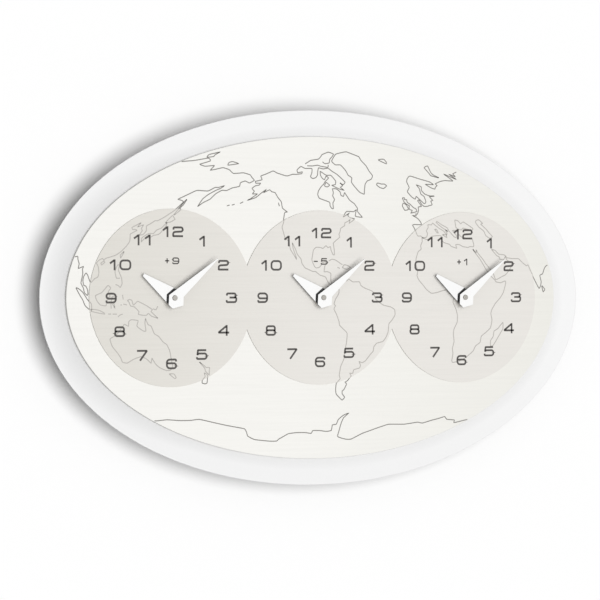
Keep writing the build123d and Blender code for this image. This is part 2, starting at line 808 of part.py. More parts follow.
# Boards and what hangs them
save("back_panel", make_back_panel())
save("face_plate", make_face_plate())
save("dial_film", make_dial_film())
hanger = make_hanger()
for side, (x, y) in hanger_places.items():
    save(f"hanger_{side}", Pos(x, y, 0) * hanger)
hanger_screw = make_screw(wall_gap - sheet_thick, wall_gap + screw_bite)
save("hanger_screws", *[Pos(x, y, 0) * hanger_screw for x, y in screw_places])
plate_screw = make_screw(wall_gap, panel_front + plate_screw_bite)
save("plate_screws", *[Pos(x, y, 0) * plate_screw for x, y in plate_screw_places])
bumper = make_wall_bumper()
save("wall_bumpers", *[Pos(x, bumper_y, 0) * bumper for x in (-dial_spacing, dial_spacing)])

# Pieces that are alike at every dial and never move share a node
shared = {
    "bush_nuts": [make_bush_nut()],
    "bush_washers": [ring(board_hole_radius, washer_radius, film_front, washer_front)],
    "panel_gaskets": [ring(board_hole_radius, gasket_radius, case_front_height, wall_gap)],
    "battery_cells": [make_cell()],
    "battery_contacts": make_contacts(),
    "circuit_boards": [make_circuit_board()],
    "quartz_crystals": [make_crystal()],
    "stators": [make_stator()],
    "coils": [make_coil()],
}
for name, pieces in shared.items():
    save(name, *[at_dial(piece, x) for x in dial_offsets.values() for piece in pieces])

# Pieces that each dial has as a node of its own
per_dial = {
    "movement_case": make_movement_case(),
    "movement_cover": make_movement_cover(),
    "hour_wheel": make_hour_wheel(),
    "hour_hand": make_hour_hand(),
    "minute_arbor": make_minute_arbor(),
    "minute_hand": make_minute_hand(),
    "hand_nut": make_hand_nut(),
    "reverser_wheel": make_reverser_wheel(),
    "setting_knob": make_setting_knob(),
    "centre_wheel": make_centre_wheel(),
    "third_wheel": make_third_wheel(),
    "seconds_wheel": make_seconds_wheel(),
    "fifth_wheel": make_fifth_wheel(),
    "rotor": make_rotor(),
}
for name, piece in per_dial.items():
    for dial, x in dial_offsets.items():
        save(f"{name}_{dial}", at_dial(piece, x))
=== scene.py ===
import json
import math

import bmesh
import bpy
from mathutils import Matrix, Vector


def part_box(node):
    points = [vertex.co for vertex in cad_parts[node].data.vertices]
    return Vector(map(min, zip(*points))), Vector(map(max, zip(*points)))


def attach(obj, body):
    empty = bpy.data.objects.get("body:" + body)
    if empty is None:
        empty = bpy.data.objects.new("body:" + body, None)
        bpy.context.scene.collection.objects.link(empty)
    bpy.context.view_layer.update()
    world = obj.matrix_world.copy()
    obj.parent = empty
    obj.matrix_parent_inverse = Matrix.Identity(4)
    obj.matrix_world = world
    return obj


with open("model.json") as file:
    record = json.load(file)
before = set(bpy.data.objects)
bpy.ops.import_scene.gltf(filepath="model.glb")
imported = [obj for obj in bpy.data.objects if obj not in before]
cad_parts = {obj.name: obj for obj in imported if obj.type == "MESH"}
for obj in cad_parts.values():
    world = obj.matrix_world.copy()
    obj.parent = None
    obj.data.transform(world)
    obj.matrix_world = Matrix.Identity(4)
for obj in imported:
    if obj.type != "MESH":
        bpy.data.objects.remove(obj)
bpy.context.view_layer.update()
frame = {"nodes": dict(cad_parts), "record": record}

# Finishes, printing and studio for a world time clock. Metres, in the frame of the solids:
# the clock faces -Y, +Z is up, and the wall is y = 0. Face points are (x, z) pairs.
MM = 0.001

# Places taken from the solids
dials = ("left", "centre", "right")
dial_at = {dial: sum(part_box(f"hand_nut_{dial}"), Vector()) / 2 for dial in dials}
film_low, film_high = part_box("dial_film")
plate_low, plate_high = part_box("face_plate")
film_front = film_low.y
plate_front = plate_low.y
dial_radius = film_high.z
dial_spacing = dial_at["right"].x
plate_half_width = plate_high.x
plate_half_height = plate_high.z

# Printing: how far ink stands out of a surface, and how far it reaches in
numeral_ink = 0.06 * MM
map_ink = 0.03 * MM
ink_sink = 0.02 * MM

# Strokes: steps on each rounded corner, and a limit that keeps sharp bends from running out in long points
arc_steps = 7
mitre_limit = 0.35

# Numerals
numeral_ring = 65 * MM
numeral_height = 10.6 * MM
numeral_width = 12.6 * MM
numeral_stroke = 1.95 * MM
one_width = 6.6 * MM
four_width = 13.4 * MM
round_width = 11.9 * MM
sign_width = 9.0 * MM
numeral_gap = 4.2 * MM
eleven_gap = 5.3 * MM
offset_height = 6.8 * MM
offset_rise = 36.7 * MM
offset_hours = {"left": "+9", "centre": "-5", "right": "+1"}

# Small shifts of some hours off the even ring, to the right and up
numeral_nudges = {
    6: (-0.5 * MM, -0.2 * MM), 7: (0.3 * MM, 0), 8: (0.3 * MM, -0.45 * MM),
    10: (1.0 * MM, 0), 11: (0.3 * MM, 0.8 * MM), 12: (1.3 * MM, 0.4 * MM),
}

# Painted shadow of the minute hand on each hour hand, a black sheet on the hour hand's root: its corners, to
# the right of the pivot and above it in millimetres
shadow_corners = (
    (-7.85, -3.9), (-2.6, -9.15), (5.4, -5.95), (8.65, 1.3), (6.15, 7.3), (0.25, 9.9), (-7.45, 3.6),
)
shadow_hole = 2.9 * MM
shadow_paint = 0.03 * MM
shadow_steps = 48

# Map: its projection, the line it is drawn with, and how far it stays inside the plate's edge
map_middle_longitude = -91.07
map_squeeze = 0.208
map_stretch = 1.002
map_turn = math.radians(0.57)
map_drop = 2.6 * MM
map_line = 1.02 * MM
map_step = 1.0 * MM
map_flow = 0.5
map_edge = 0.6 * MM

# Painted shade on the rim beside the plate: how dark it is at the left end and in the middle,
# and how far out it reaches at the left end and halfway to the middle
painted_rim_shade = (0.20, 0.11)
rim_shade_reach = (25 * MM, 12 * MM)

# Grains of the finishes, in cycles per metre along x, y and z
fine_brush = (24.0, 24.0, 1100.0)
broad_brush = (6.0, 6.0, 360.0)
lacquer_peel = (420.0, 420.0, 420.0)
hand_peel = (700.0, 700.0, 700.0)
bare_fibres = (900.0, 900.0, 260.0)
fibre_clouds = (25.0, 25.0, 25.0)
sleeve_scuffs = (300.0, 900.0, 900.0)
wire_turns = 1100.0

# The range that most of a noise falls in, and the least share of a normal that counts as facing a way
noise_range = (0.3, 0.7)
fibre_range = (0.35, 0.65)
facing_limit = 0.5

black = (0.0, 0.0, 0.0, 1.0)
white = (1.0, 1.0, 1.0, 1.0)


def rounded(corners, closed=False):
    """Points along straight runs between corners (x, z, radius), with each corner turned on an arc."""
    spots = [Vector(corner[:2]) for corner in corners]
    radii = [corner[2] if len(corner) > 2 else 0.0 for corner in corners]
    count = len(spots)
    points = []
    for i, spot in enumerate(spots):
        end = not closed and i in (0, count - 1)
        if end or radii[i] == 0:
            points.append(spot)
            continue
        back = spots[i - 1] - spot
        ahead = spots[(i + 1) % count] - spot
        half = back.angle(ahead) / 2
        setback = min(radii[i] / math.tan(half), back.length / 2, ahead.length / 2)
        radius = setback * math.tan(half)
        centre = spot + (back.normalized() + ahead.normalized()).normalized() * radius / math.sin(half)
        start = spot + back.normalized() * setback - centre
        stop = spot + ahead.normalized() * setback - centre
        sweep = start.angle_signed(stop)
        for step in range(arc_steps + 1):
            turn = -sweep * step / arc_steps
            cos, sin = math.cos(turn), math.sin(turn)
            points.append(centre + Vector((start.x * cos - start.y * sin, start.x * sin + start.y * cos)))
    return points


def edge_normal(start, stop):
    """Unit vector to the left of a run."""
    run = (stop - start).normalized()
    return Vector((-run.y, run.x))


def join_rings(mesh, one, two):
    """Four faces between two rings of four points."""
    for k in range(4):
        mesh.faces.new((one[k], one[k - 3], two[k - 3], two[k]))


def add_ribbon(mesh, points, width, front, back, closed=False):
    """Add a flat stroke of a width along face points to a mesh, as a thin closed solid."""
    count = len(points)
    rings = []
    for i, spot in enumerate(points):
        sides = []
        if i > 0 or closed:
            sides.append(edge_normal(points[i - 1], spot))
        if i < count - 1 or closed:
            sides.append(edge_normal(spot, points[(i + 1) % count]))
        lean = sum(sides, Vector((0, 0)))
        lean = lean.normalized() if lean.length > mitre_limit else sides[-1]
        reach = lean * width / 2 / max(lean.dot(sides[-1]), mitre_limit)
        corners = ((spot + reach, front), (spot - reach, front), (spot - reach, back), (spot + reach, back))
        rings.append([mesh.verts.new((at.x, depth, at.y)) for at, depth in corners])
    for one, two in zip(rings, rings[1:]):
        join_rings(mesh, one, two)
    if closed:
        join_rings(mesh, rings[-1], rings[0])
    else:
        mesh.faces.new(rings[0])
        mesh.faces.new(rings[-1][::-1])


def make_piece(name, mesh, material, body):
    """Object from a finished mesh, riding on a body."""
    bmesh.ops.recalc_face_normals(mesh, faces=mesh.faces)
    data = bpy.data.meshes.new(name)
    mesh.to_mesh(data)
    mesh.free()
    data.materials.append(material)
    piece = bpy.data.objects.new(name, data)
    bpy.context.scene.collection.objects.link(piece)
    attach(piece, body)


# Digits on a unit square, as strokes of corners (x, z, radius in shares of the height)
six = [(1, 0.77), (1, 1, 0.27), (0, 1, 0.3), (0, 0, 0.3), (1, 0, 0.27), (1, 0.57, 0.26), (0.05, 0.57)]
eight_base = [(0, 0, 0.28), (1, 0, 0.28), (1, 0.53, 0.24), (0, 0.53, 0.24)]
eight_top = [(0.2, 0.53), (0.04, 0.53, 0.2), (0.04, 1, 0.26), (0.96, 1, 0.26), (0.96, 0.53, 0.2), (0.8, 0.53)]
open_strokes = {
    "1": [[(1, -0.12), (1, 1.12)], [(0.9, 1.02), (-0.05, 0.66)]],
    "2": [[(0.03, 0.74), (0.03, 1, 0.28), (0.97, 1, 0.28), (0.97, 0.54, 0.22), (0, 0.47, 0.22),
           (0, 0, 0.04), (1, 0)]],
    "3": [[(0.03, 0.76), (0.03, 1, 0.28), (0.95, 1, 0.26), (0.95, 0.53, 0.2), (0.3, 0.53)],
          [(0.78, 0.53), (1, 0.53, 0.22), (1, 0, 0.28), (0, 0, 0.28), (0, 0.24)]],
    "4": [[(0.8, -0.12), (0.8, 1.12)], [(0.76, 1), (0, 0.25, 0.03), (1.04, 0.25)]],
    "5": [[(0.95, 1), (0.1, 1, 0.04), (0.04, 0.5, 0.02), (0.2, 0.62, 0.1), (1, 0.62, 0.27), (1, 0, 0.28),
           (0, 0, 0.28), (0, 0.22)]],
    "6": [six],
    "7": [[(0, 1), (1, 1, 0.03), (0.3, -0.12)]],
    "8": [eight_top],
    "9": [[(1 - x, 1 - z, *radius) for x, z, *radius in six]],
    "+": [[(0, 0.5), (1, 0.5)], [(0.5, 0.06), (0.5, 0.94)]],
    "-": [[(0, 0.5), (1, 0.5)]],
}
closed_strokes = {"0": [[(0, 0, 0.3), (1, 0, 0.3), (1, 1, 0.3), (0, 1, 0.3)]], "8": [eight_base]}
special_widths = {
    "1": one_width, "4": four_width, "6": round_width, "8": round_width, "9": round_width,
    "+": sign_width, "-": sign_width,
}


def add_number(mesh, text, middle, height, front, back):
    """Draw a number with its middle at a face point."""
    size = height / numeral_height
    stroke = numeral_stroke * size
    widths = [special_widths.get(sign, numeral_width) * size for sign in text]
    gap = (eleven_gap if text == "11" else numeral_gap) * size
    left = middle.x - (sum(widths) + gap * (len(text) - 1)) / 2
    rise = height - stroke
    low = middle.y - rise / 2
    for sign, width in zip(text, widths):
        reach = width - stroke
        for strokes, closed in ((open_strokes, False), (closed_strokes, True)):
            for corners in strokes.get(sign, []):
                spots = [
                    (left + stroke / 2 + x * reach, low + z * rise, *[share * height for share in radius])
                    for x, z, *radius in corners
                ]
                add_ribbon(mesh, rounded(spots, closed), stroke, front, back, closed)
        left += width + gap


def make_numerals(dial, material):
    """The twelve numbers of a dial, and its hours from the common time under the twelve."""
    mesh = bmesh.new()
    middle = Vector((dial_at[dial].x, dial_at[dial].z))
    front = film_front - numeral_ink
    back = film_front + ink_sink
    for hour in range(1, 13):
        turn = math.radians(30 * hour)
        spot = middle + numeral_ring * Vector((math.sin(turn), math.cos(turn)))
        spot += Vector(numeral_nudges.get(hour, (0, 0)))
        add_number(mesh, str(hour), spot, numeral_height, front, back)
    add_number(mesh, offset_hours[dial], middle + Vector((0, offset_rise)), offset_height, front, back)
    make_piece(f"numerals_{dial}", mesh, material, "clock_body")


# Coasts as capes, bays and river mouths in degrees of longitude and latitude, from general geography.
# The map is cut near 89 degrees east, and longitudes below -271 run past its left end.
east_asia = [
    (-273, 21.5), (91, 22.5), (92, 21), (94, 18.5), (94.5, 16), (96, 16.5), (97.5, 17), (97.5, 15.5),
    (98.5, 13), (98.5, 10), (98.5, 8), (100.5, 5.5), (101.5, 3), (103.5, 1.5), (104, 2), (103.5, 4.5),
    (102, 6.5), (100.5, 7), (99.5, 9.5), (99.5, 11.5), (100.5, 13.5), (102, 12.5), (103, 11), (105, 8.5),
    (107, 10.5), (109, 11.5), (109, 14), (107.5, 17), (105.5, 19), (106.5, 20.5), (108.5, 21.5),
    (110, 20.5), (110.5, 21.5), (114, 22.5), (117, 23.5), (119.5, 25.5), (121.5, 28.5), (122, 31),
    (120.5, 33.5), (119.5, 35), (122.5, 37), (121, 37.5), (119, 37.5), (117.5, 38.5), (119, 39.5),
    (121.5, 41), (121.5, 39), (124.5, 40), (125, 38), (126.5, 37), (126.5, 34.5), (129, 35), (129.5, 37),
    (127.5, 39.5), (129.5, 41), (131, 42.5), (133, 42.5), (136, 44.5), (140, 48.5), (141.5, 53),
    (138.5, 54), (135, 54.5), (138, 56.5), (143, 59.5), (149, 59.5), (154, 59.5), (157, 61.5), (160, 61.5),
    (164, 62.5), (163, 61), (160.5, 60), (157, 57.5), (155.5, 55), (156.5, 51), (158.5, 53), (162, 55),
    (163, 58), (166, 60), (170.5, 60), (174, 61.5), (179.5, 62.5), (177.5, 64.5), (-179, 65.5),
    (-173, 64.5), (-170, 66), (-175, 67.5), (180, 69), (170, 70), (160, 69.5), (150, 71.5), (140, 72.5),
    (135, 71.5), (131, 71), (127, 73.5), (119, 73), (110, 74), (113, 76), (104, 77.5), (96, 76),
    (90, 75.5), (-274, 75),
]
europe_africa_india = [
    (88.5, 74), (81, 73), (78, 71.5), (75.5, 72.5), (74, 70), (70, 72.5), (68, 69),
    (60, 69), (54, 68.5), (44.5, 67), (44, 66), (40, 65), (37.5, 64), (35, 64.5), (33, 66.5), (41, 66.5),
    (40.5, 68), (33, 69.5), (26, 71), (19, 69.5), (14, 67.5), (11, 64.5), (5, 62), (5.5, 59), (7.5, 58),
    (10.5, 59.5), (11.5, 58), (13, 55.5), (16, 56.5), (18.5, 59.5), (17.5, 61), (21, 64), (22, 66),
    (25, 65), (21.5, 63), (21.5, 61), (25, 60), (29.5, 60), (24, 59.5), (24, 57.5), (21.5, 57), (20, 55),
    (17, 54.5), (14, 54), (11, 54), (10, 55), (10.5, 57.5), (8.5, 57), (8.5, 54), (5, 53.5), (3, 51.5),
    (0, 49.5), (-1.5, 49.5), (-2, 48.5), (-5, 48.5), (-2, 47), (-1, 45), (-1.5, 43.5), (-8, 43.5),
    (-9.5, 43), (-9, 41), (-9.5, 38.5), (-9, 37), (-6.5, 37), (-5.5, 36), (-2, 36.5), (0, 38.5), (0, 40),
    (3, 42), (4, 43.5), (7, 43.5), (9, 44.5), (10.5, 43), (12.5, 41.5), (15, 40), (16, 38), (17, 39),
    (17, 40.5), (18.5, 40), (16, 41.5), (13.5, 43.5), (12.5, 45), (13.5, 45.5), (16.5, 43.5), (19.5, 42),
    (19.5, 40.5), (21.5, 37), (23, 36.5), (24, 38), (23, 40.5), (26, 40.5), (26.5, 38.5), (27.5, 37),
    (30.5, 36.5), (32.5, 36), (36, 36.5), (35, 33), (34, 31.5), (31, 31.5), (29, 31), (25, 31.5),
    (23, 32.5), (20, 32.5), (19.5, 30.5), (15.5, 31.5), (15, 32.5), (11, 33.5), (10, 34.5), (11, 37),
    (9.5, 37.5), (3, 37), (-2, 35), (-6, 36), (-7, 34), (-9.5, 31.5), (-10, 29.5), (-13, 28), (-16, 24),
    (-17, 21), (-16.5, 17), (-17.5, 14.5), (-16.5, 12), (-13.5, 9), (-11, 6.5), (-7.5, 4.5), (-3, 5),
    (1, 6), (4.5, 6.5), (6, 4.5), (9, 4), (9.5, 2), (9, -0.5), (11.5, -4.5), (13, -8), (13.5, -12),
    (12, -16), (12.5, -19), (14.5, -23), (15, -27), (17, -30), (18.5, -34), (20, -35), (25.5, -34),
    (29, -32), (32.5, -28.5), (33, -25.5), (35.5, -23.5), (35, -20), (38, -17.5), (40.5, -15),
    (40.5, -10.5), (39, -7), (39.5, -4.5), (42, -1), (46, 2.5), (48.5, 5.5), (51, 10.5), (51, 12),
    (47, 11), (43.5, 11.5), (43, 12.5), (39.5, 15.5), (37.5, 19), (35.5, 24), (33.5, 27.5), (32.5, 30),
    (34, 28), (35, 29.5), (35.5, 27.5), (37.5, 24.5), (39, 21.5), (42.5, 17), (43.5, 13), (45, 13),
    (49, 14.5), (52, 15.5), (55, 17.5), (57.5, 19.5), (60, 22.5), (57, 24), (56.5, 26), (54.5, 24.5),
    (51.5, 24.5), (51.5, 26), (50, 26.5), (48, 30), (50.5, 29.5), (52, 27.5), (56.5, 27), (57.5, 25.5),
    (62, 25), (66.5, 25), (68, 23.5), (69, 22.5), (71, 21), (72.5, 21.5), (73, 18.5), (74.5, 14),
    (76, 10.5), (77.5, 8), (79, 9.5), (80, 12), (80, 15.5), (82.5, 16.5), (85, 19.5), (87, 21),
    (88.5, 21.5),
]
americas = [
    (-168, 65.5), (-162, 66.5), (-166.5, 68.5), (-163, 69.5), (-156.5, 71.5), (-150, 70.5), (-141, 69.5),
    (-135, 69), (-129, 70), (-124.5, 70), (-117.5, 70.5), (-117.5, 71.5), (-123, 71), (-125.5, 72.5),
    (-122, 74.5), (-115, 73.5), (-105, 73.5), (-104, 71), (-105, 69), (-102, 68), (-98, 68.5), (-96, 70),
    (-96, 72), (-95, 74), (-88, 73.5), (-81, 74), (-76, 72.5), (-69, 70.5), (-61.5, 66.5), (-65, 65),
    (-68, 66), (-65.5, 64.5), (-68.5, 63.5), (-65.5, 62), (-70, 62.5), (-76.5, 64), (-78, 64.5), (-74, 65),
    (-73, 67), (-78, 70), (-84, 70), (-90, 71.5), (-92.5, 72), (-92, 70), (-90, 68.5), (-87, 67.5),
    (-84.5, 69.5), (-81.5, 68.5), (-86, 66.5), (-88, 65), (-91, 63.5), (-94, 61), (-94.5, 59), (-92.5, 57),
    (-82.5, 55), (-82, 53), (-80.5, 51.5), (-79, 51.5), (-79, 54.5), (-77, 56.5), (-78.5, 58.5),
    (-77.5, 60.5), (-78, 62.5), (-73.5, 62.5), (-70, 61), (-69.5, 59), (-67, 58.5), (-65, 60.5),
    (-61.5, 56.5), (-57.5, 54.5), (-55.5, 52), (-56, 50), (-53, 47), (-59, 47.5), (-57, 51), (-60, 50),
    (-66.5, 50), (-70.5, 47), (-64.5, 49), (-66, 48), (-64.5, 46.5), (-60.5, 46), (-63.5, 44.5),
    (-66, 43.5), (-65, 45.5), (-67, 44.5), (-70, 43.5), (-70.5, 42), (-74, 40.5), (-75, 38.5), (-76, 37),
    (-75.5, 35.5), (-78, 34), (-81, 32), (-80.5, 28.5), (-80.5, 25.5), (-81.5, 25.5), (-83, 28),
    (-83.5, 30), (-85.5, 29.5), (-87, 30.5), (-89.5, 29), (-91.5, 29.5), (-95, 29.5), (-97, 28),
    (-97.5, 25.5), (-98, 22.5), (-96, 19), (-94.5, 18), (-92, 18.5), (-90.5, 20), (-90, 21), (-87, 21.5),
    (-88, 19), (-88.5, 16), (-86, 16), (-83.5, 15), (-83.5, 11), (-82, 9), (-80, 9.5), (-77.5, 8.5),
    (-75.5, 10.5), (-72, 12.5), (-71.5, 11), (-70, 12), (-67, 10.5), (-62, 10.5), (-61, 8.5), (-58, 7),
    (-54.5, 6), (-52, 5), (-50, 1), (-48, -0.5), (-44, -2.5), (-38.5, -3.5), (-35.5, -5), (-35, -8),
    (-37, -11), (-39, -13), (-39, -17.5), (-40, -20.5), (-42, -23), (-46.5, -24), (-48.5, -26),
    (-48.5, -28.5), (-50.5, -30.5), (-53.5, -34), (-56, -35), (-58.5, -34.5), (-57, -36.5), (-57.5, -38),
    (-62, -39), (-62.5, -41), (-65, -41), (-63.5, -42.5), (-65.5, -45), (-67.5, -46), (-66, -47),
    (-67.5, -50), (-69, -51), (-68.5, -52.5), (-65.5, -54.5), (-67.5, -56), (-71, -54.5), (-74.5, -52.5),
    (-75.5, -50), (-75.5, -46.5), (-73, -44), (-74, -42), (-73.5, -37), (-71.5, -33), (-71.5, -30),
    (-70.5, -23.5), (-70.5, -18.5), (-73, -16.5), (-76.5, -14), (-77, -12), (-79, -8), (-81, -5),
    (-80, -3), (-81, -2), (-80, 0.5), (-77.5, 4), (-77.5, 7), (-79.5, 9), (-80.5, 7.5), (-83, 8.5),
    (-85.5, 10), (-87.5, 13), (-91.5, 14), (-95, 16), (-97, 16), (-100, 17), (-103, 18), (-105.5, 20.5),
    (-106.5, 23), (-109.5, 25.5), (-111, 28), (-114, 31.5), (-113, 28.5), (-110.5, 24.5), (-110, 23),
    (-112, 25), (-115, 28), (-116, 30), (-117, 32.5), (-120.5, 34.5), (-122.5, 37.5), (-124.5, 40.5),
    (-124, 43), (-124.5, 48.5), (-122.5, 49), (-127.5, 51), (-130.5, 54.5), (-135.5, 57), (-140, 59.5),
    (-144, 60), (-147, 61), (-151.5, 59.5), (-151, 61), (-154, 59), (-157, 56.5), (-163, 55), (-161, 56),
    (-157.5, 58.5), (-162, 58.5), (-162, 60), (-166, 61.5), (-164.5, 63), (-161, 63.5), (-161, 64.5),
    (-166, 64.5), (-168, 65.5),
]
antarctica = [
    (88, -66.5), (80, -68), (73, -69.5), (69, -68), (60, -67.5), (54, -66), (50, -67), (45, -68),
    (39, -69.5), (32, -69), (20, -70), (10, -70), (0, -70), (-8, -71.5), (-15, -73), (-25, -75),
    (-35, -78), (-45, -78), (-60, -76.5), (-61.5, -73), (-62, -69), (-61, -66), (-57, -63.5), (-62, -64.5),
    (-67, -67), (-68, -69.5), (-73, -70), (-73, -73), (-80, -73.5), (-90, -73), (-100, -73), (-103, -74.5),
    (-112, -74), (-125, -74), (-137, -74.5), (-147, -76), (-158, -77.5), (-164, -78.5), (-175, -78.5),
    (166, -77.5), (163.5, -75.5), (168, -73.5), (170.5, -71.5), (163, -70.5), (155, -69.5), (146, -68),
    (135, -66), (125, -66.5), (115, -66.5), (105, -66), (95, -66.5), (-272, -66.5),
]
islands = {
    "severnaya_zemlya": [(94, 79.5), (97, 81), (101, 79.5), (105, 78.5), (100, 78)],
    "new_siberian_islands": [(137, 75.5), (139.5, 76), (150, 75), (141, 74)],
    "sakhalin": [(142.5, 54.5), (143.5, 51.5), (143, 49.5), (144.5, 49), (143, 46.5), (142, 46), (142, 53.5)],
    "hokkaido": [(140, 41.5), (140.5, 43.5), (141.5, 45.5), (144.5, 44), (145.5, 43.5), (143.5, 42)],
    "honshu_and_kyushu": [
        (141, 41.5), (139.5, 38.5), (137, 37.5), (136, 35.5), (133, 35.5), (131, 34.5), (129.5, 33),
        (130.5, 31), (132, 33), (135.5, 33.5), (137, 34.5), (140, 35), (141, 36), (142, 39.5),
    ],
    "taiwan": [(121.5, 25.5), (120, 23.5), (121, 22), (121.5, 24)],
    "hainan": [(108.5, 19), (110, 20), (111, 19.5), (109.5, 18)],
    "sumatra": [
        (95.5, 5.5), (97.5, 5), (100.5, 3), (103.5, -0.5), (106, -3), (106, -6), (104.5, -6), (102, -4),
        (100.5, -1), (98.5, 1.5),
    ],
    "java": [(105.5, -7), (106.5, -6), (111, -6.5), (114.5, -8), (114.5, -8.5), (110.5, -8)],
    "borneo": [
        (109, 1.5), (111.5, 2.5), (113, 3), (115.5, 5.5), (117, 7), (119, 5.5), (117.5, 3.5), (119, 1),
        (117.5, 0.5), (116.5, -2), (116, -4), (114.5, -4), (112, -3.5), (110, -1.5), (109, 0.5),
    ],
    "new_guinea": [
        (131, -1), (132.5, -0.5), (134, -1), (135, -3.5), (138, -1.5), (141, -2.5), (144.5, -4), (148, -6),
        (147, -7), (151, -10.5), (147, -9.5), (145, -8), (143.5, -9), (141, -9), (138, -8.5), (138.5, -7),
        (135.5, -4.5), (133, -4), (132, -2),
    ],
    "australia": [
        (114, -22), (113.5, -26), (115, -29.5), (115.5, -32), (115, -34.5), (118, -35), (121, -34),
        (124, -33), (126, -32.5), (131, -31.5), (134, -33), (135.5, -35), (138, -32.5), (138.5, -35.5),
        (140, -37.5), (143.5, -39), (146.5, -39), (150, -37.5), (151.5, -34), (153.5, -28.5), (153, -25),
        (151, -23.5), (149, -20.5), (146.5, -19), (145.5, -15), (143.5, -14), (142.5, -11), (141.5, -13.5),
        (141, -17.5), (139, -17.5), (135.5, -15), (137, -12), (132.5, -11.5), (130.5, -12.5), (129.5, -15),
        (127, -14), (124.5, -16), (122, -18), (119, -20),
    ],
    "tasmania": [(144.5, -41), (148, -41), (148, -43), (146.5, -43.5), (145.5, -42.5)],
    "new_zealand_north": [
        (172.5, -34.5), (175, -36.5), (176, -37.5), (178.5, -37.5), (177, -39.5), (175.5, -41.5),
        (174, -39.5), (174.5, -38),
    ],
    "new_zealand_south": [
        (172.5, -40.5), (174, -41.5), (173, -43.5), (170.5, -46), (168.5, -46.5), (166.5, -46),
        (168.5, -44), (171.5, -42.5),
    ],
    "greenland": [
        (-73, 78), (-68, 80), (-60, 82), (-45, 83), (-32, 83.5), (-22, 82), (-17, 81), (-20, 79),
        (-20, 76), (-22, 73), (-22, 70.5), (-27, 68.5), (-33, 67.5), (-38, 65.5), (-42.5, 61.5), (-44, 60),
        (-48, 61), (-51, 63.5), (-53.5, 66.5), (-51, 69), (-54.5, 70.5), (-55.5, 73), (-60, 76), (-68, 76),
        (-71, 77),
    ],
    "southampton": [(-87, 64), (-85, 66), (-81, 64.5), (-84, 63.5)],
    "hispaniola": [(-74.5, 18.5), (-73, 20), (-70, 19.5), (-68.5, 18.5), (-71.5, 17.5)],
    "iceland": [(-24.5, 65.5), (-22, 66.5), (-18, 66), (-14.5, 66), (-13.5, 65), (-19, 63.5), (-22.5, 64)],
    "svalbard": [(11, 79.5), (17, 80), (22, 80), (19, 78.5), (15, 77.5)],
    "novaya_zemlya": [(57.5, 70.5), (52, 71.5), (55, 73.5), (60, 76), (68.5, 77), (58, 73.5), (56, 72)],
    "great_britain": [
        (-5, 58.5), (-3, 58.5), (-4, 57.5), (-2, 57.5), (-3, 56), (-1.5, 55), (0, 53), (1.5, 52.5),
        (1, 51), (-1.5, 50.5), (-5.5, 50), (-3, 51.5), (-5, 52), (-4, 53.5), (-3, 54), (-5, 55),
        (-6, 56.5),
    ],
    "ireland": [(-6, 52), (-10, 51.5), (-10, 54), (-7.5, 55.5), (-5.5, 54.5)],
    "sardinia": [(8, 41), (9.5, 41), (9.5, 39), (8.5, 39)],
    "sicily": [(12.5, 38), (15.5, 38), (15, 36.5)],
    "black_sea": [
        (28, 41.5), (27.5, 42.5), (28.5, 44), (30.5, 46.5), (33, 46), (33.5, 44.5), (37, 45.5), (41.5, 42),
        (40, 41), (36, 41.5), (33, 42), (31, 41),
    ],
    "caspian": [
        (47.5, 45.5), (49, 46.5), (52, 47), (53, 45), (51, 44.5), (52.5, 42), (53, 40), (54, 37.5),
        (51, 36.5), (49, 38), (49.5, 40.5), (47.5, 43),
    ],
    "sri_lanka": [(80, 9.5), (82, 7.5), (80.5, 6), (80, 8)],
    "madagascar": [
        (49.5, -12), (50.5, -15.5), (49.5, -18), (47, -25), (45, -25.5), (43.5, -22.5), (44.5, -20),
        (44, -17), (46.5, -15.5), (48, -13.5),
    ],
}
short_coasts = {
    "philippines": [
        (124.5, 11), (122, 11), (120, 14.5), (120.5, 18), (122, 18), (122, 15.5), (124, 13), (125.5, 11),
        (126.5, 8), (125.5, 6), (124, 7), (122, 7.5),
    ],
    "sulawesi_west": [(124, 1), (120.5, 1), (119.5, -3), (119.5, -5.5)],
    "sulawesi_east": [(120.5, -3), (122, -5), (121.5, -2), (123, -1)],
    "halmahera": [(127.5, 2), (128, -0.5)],
    "buru": [(126, -3.5), (127, -3.5)],
    "seram": [(128, -3), (130.5, -3.5)],
    "new_britain": [(148.5, -5.5), (150.5, -6), (152, -4)],
    "sumbawa": [(117, -8.5), (119, -8.5)],
    "flores": [(120, -8.5), (123, -8.5)],
    "timor": [(123.5, -10), (125, -9), (127, -8.5)],
    "queen_charlotte_islands": [(-133, 54), (-131, 52)],
    "parry_islands_north": [(-117, 76), (-110, 78), (-103, 78.5), (-96, 79), (-92, 80.5), (-90, 81.5)],
    "ellesmere": [
        (-90, 81.5), (-75, 83), (-65, 82), (-70, 80.5), (-75.5, 79), (-78, 77), (-85, 76.5), (-89, 77.5),
    ],
    "parry_islands_south": [(-113, 75), (-105, 75), (-97, 75.5), (-92, 75), (-81, 74.5), (-80, 76)],
    "cuba": [(-85, 22), (-82.5, 23), (-79.5, 22.5), (-74.5, 20)],
    "jamaica": [(-78.5, 18.5), (-76.5, 18)],
    "aleutians_west": [(-179, 51.5), (-177, 52)],
    "aleutians_middle": [(-175, 52), (-173, 52.5)],
    "aleutians_east": [(-168.5, 53), (-166.5, 54)],
}


def on_plate(longitude, latitude):
    """Face point of a place: even parallels, meridians that close in as the oval does, and a slight turn."""
    past_middle = longitude - map_middle_longitude
    east = (past_middle - 360 if past_middle > 180 else past_middle) / 180
    north = latitude / 90
    spread = math.sqrt(1 - north ** 2) * (1 - map_squeeze * north ** 2 * (1 - east ** 2))
    x = map_stretch * plate_half_width * spread * east
    z = plate_half_height * north
    cos, sin = math.cos(map_turn), math.sin(map_turn)
    return Vector((x * cos + z * sin, z * cos - x * sin - map_drop))


